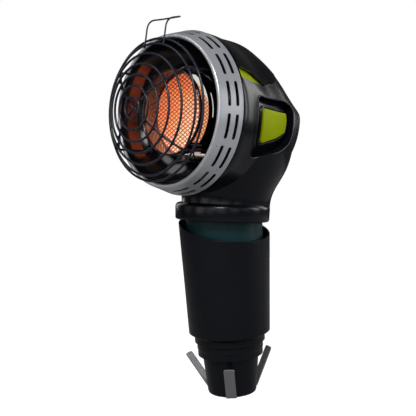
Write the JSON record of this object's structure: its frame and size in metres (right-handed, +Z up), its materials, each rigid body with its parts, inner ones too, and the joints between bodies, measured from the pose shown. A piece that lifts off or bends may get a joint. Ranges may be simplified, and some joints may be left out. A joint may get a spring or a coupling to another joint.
{
  "type": "portable propane heater",
  "caption": "Cup-holder propane heater: round wire-guarded burner head in a black housing on a gas cylinder, standing in a tapered sleeve with a stepped cup and spring strips.",
  "frame": {"origin": "centre of the flat underside of the cup that goes into a cup holder", "axes": "+Z up along the cup, sleeve and gas cylinder; -Y is the way the burner faces; +X is to the right seen from behind the heater"},
  "size_m": [0.2012, 0.2439, 0.482],
  "materials": {
    "black_housing": "fine satin texture, near black",
    "black_gloss": "glossy black",
    "green_plastic": "satin yellow-green",
    "silver_paint": "satin silver, bright rolled lip",
    "bowl_metal": "dark mirror polish",
    "polished_steel": "polished",
    "wire_black": "black enamel on wire",
    "ceramic": "unglazed perforated ceramic",
    "mesh_steel": "heat-tinted wire mesh",
    "steel": "plain sheet steel",
    "brass": "turned brass",
    "zinc_casting": "as cast",
    "rubber": "moulded rubber",
    "gasket": "ceramic fibre felt",
    "cylinder_paint": "dark teal enamel",
    "sleeve_plastic": "satin near black",
    "strip_steel": "satin grey spring steel",
    "black_control": "satin black",
    "screw_steel": "zinc plated"
  },
  "bodies": {
    "adapter": {"adapter_sleeve": "sleeve_plastic", "spring_hub": "strip_steel", "hub_screw": "screw_steel"},
    "heater": {"housing_left": "black_housing", "housing_right": "black_housing", "side_inlay_left": "green_plastic", "side_inlay_right": "green_plastic", "top_accent": "green_plastic", "top_cover": "black_gloss", "bezel": "silver_paint", "reflector_bowl": "bowl_metal", "guard_rings": "wire_black", "guard_ribs": "wire_black", "guard_hook": "wire_black", "burner_housing": "polished_steel", "burner_rim": "polished_steel", "ceramic_tile": "ceramic", "tile_gasket": "gasket", "burner_baffle": "steel", "burner_mesh": "mesh_steel", "heat_shield": "steel", "pilot_bracket": "polished_steel", "igniter_electrode": "ceramic", "pilot_burner": "brass", "thermocouple": "steel", "gas_inlet": "zinc_casting", "inlet_seal": "rubber", "mounting_plate": "steel", "inlet_screws": "screw_steel", "plate_screws": "screw_steel", "regulator": "zinc_casting", "valve_body": "zinc_casting", "gas_jet": "brass", "mixing_tube": "steel", "pilot_tube": "brass", "tip_over_switch": "black_control", "piezo_igniter": "black_control", "button_spring": "screw_steel", "housing_screws": "screw_steel"},
    "gas_cylinder": {"cylinder_shell": "cylinder_paint", "cylinder_foot": "cylinder_paint", "cylinder_neck": "steel", "relief_valve": "brass", "valve_core": "brass"},
    "valve_stem": {"valve_stem": "brass"},
    "control_knob": {"control_knob": "black_control"},
    "igniter_button": {"igniter_button": "black_control"},
    "strip_front": {"spring_strip_front": "strip_steel"},
    "strip_right": {"spring_strip_right": "strip_steel"},
    "strip_left": {"spring_strip_left": "strip_steel"}
  },
  "joints": [
    {"name": "lift_out", "type": "slide", "parent": "adapter", "child": "heater", "axis": [0, 0, 1], "range_m": [0, 0.16]},
    {"name": "cylinder_unscrew", "type": "hinge", "parent": "heater", "child": "gas_cylinder", "pos_m": [0, 0, 0.28], "axis": [0, 0, -1], "range_deg": [0, 2160]},
    {"name": "valve_turn", "type": "hinge", "parent": "heater", "child": "valve_stem", "pos_m": [0, 0.06944, 0.32848], "axis": [0, 0.9925, -0.1219], "range_deg": [0, 150]},
    {"name": "knob_push", "type": "slide", "parent": "valve_stem", "child": "control_knob", "axis": [0, -0.9925, 0.1219], "range_m": [0, 0.004], "stiffness_N_per_m": 600, "springref_m": -0.003},
    {"name": "igniter_push", "type": "slide", "parent": "heater", "child": "igniter_button", "axis": [0, -0.9925, 0.1219], "range_m": [0, 0.006], "stiffness_N_per_m": 900, "springref_m": -0.004, "deforming": ["button_spring"]},
    {"name": "strip_front_flex", "type": "hinge", "parent": "adapter", "child": "strip_front", "pos_m": [0.02181, -0.02423, 0.0022], "axis": [-0.7431, -0.6691, 0], "range_deg": [-8, 20], "stiffness_Nm_per_rad": 0.6},
    {"name": "strip_right_flex", "type": "hinge", "parent": "adapter", "child": "strip_right", "pos_m": [0.01007, 0.031, 0.0022], "axis": [0.9511, -0.309, 0], "range_deg": [-8, 14], "stiffness_Nm_per_rad": 0.6},
    {"name": "strip_left_flex", "type": "hinge", "parent": "adapter", "child": "strip_left", "pos_m": [-0.03189, -0.00678, 0.0022], "axis": [-0.2079, 0.9781, 0], "range_deg": [-8, 26], "stiffness_Nm_per_rad": 0.6}
  ]
}
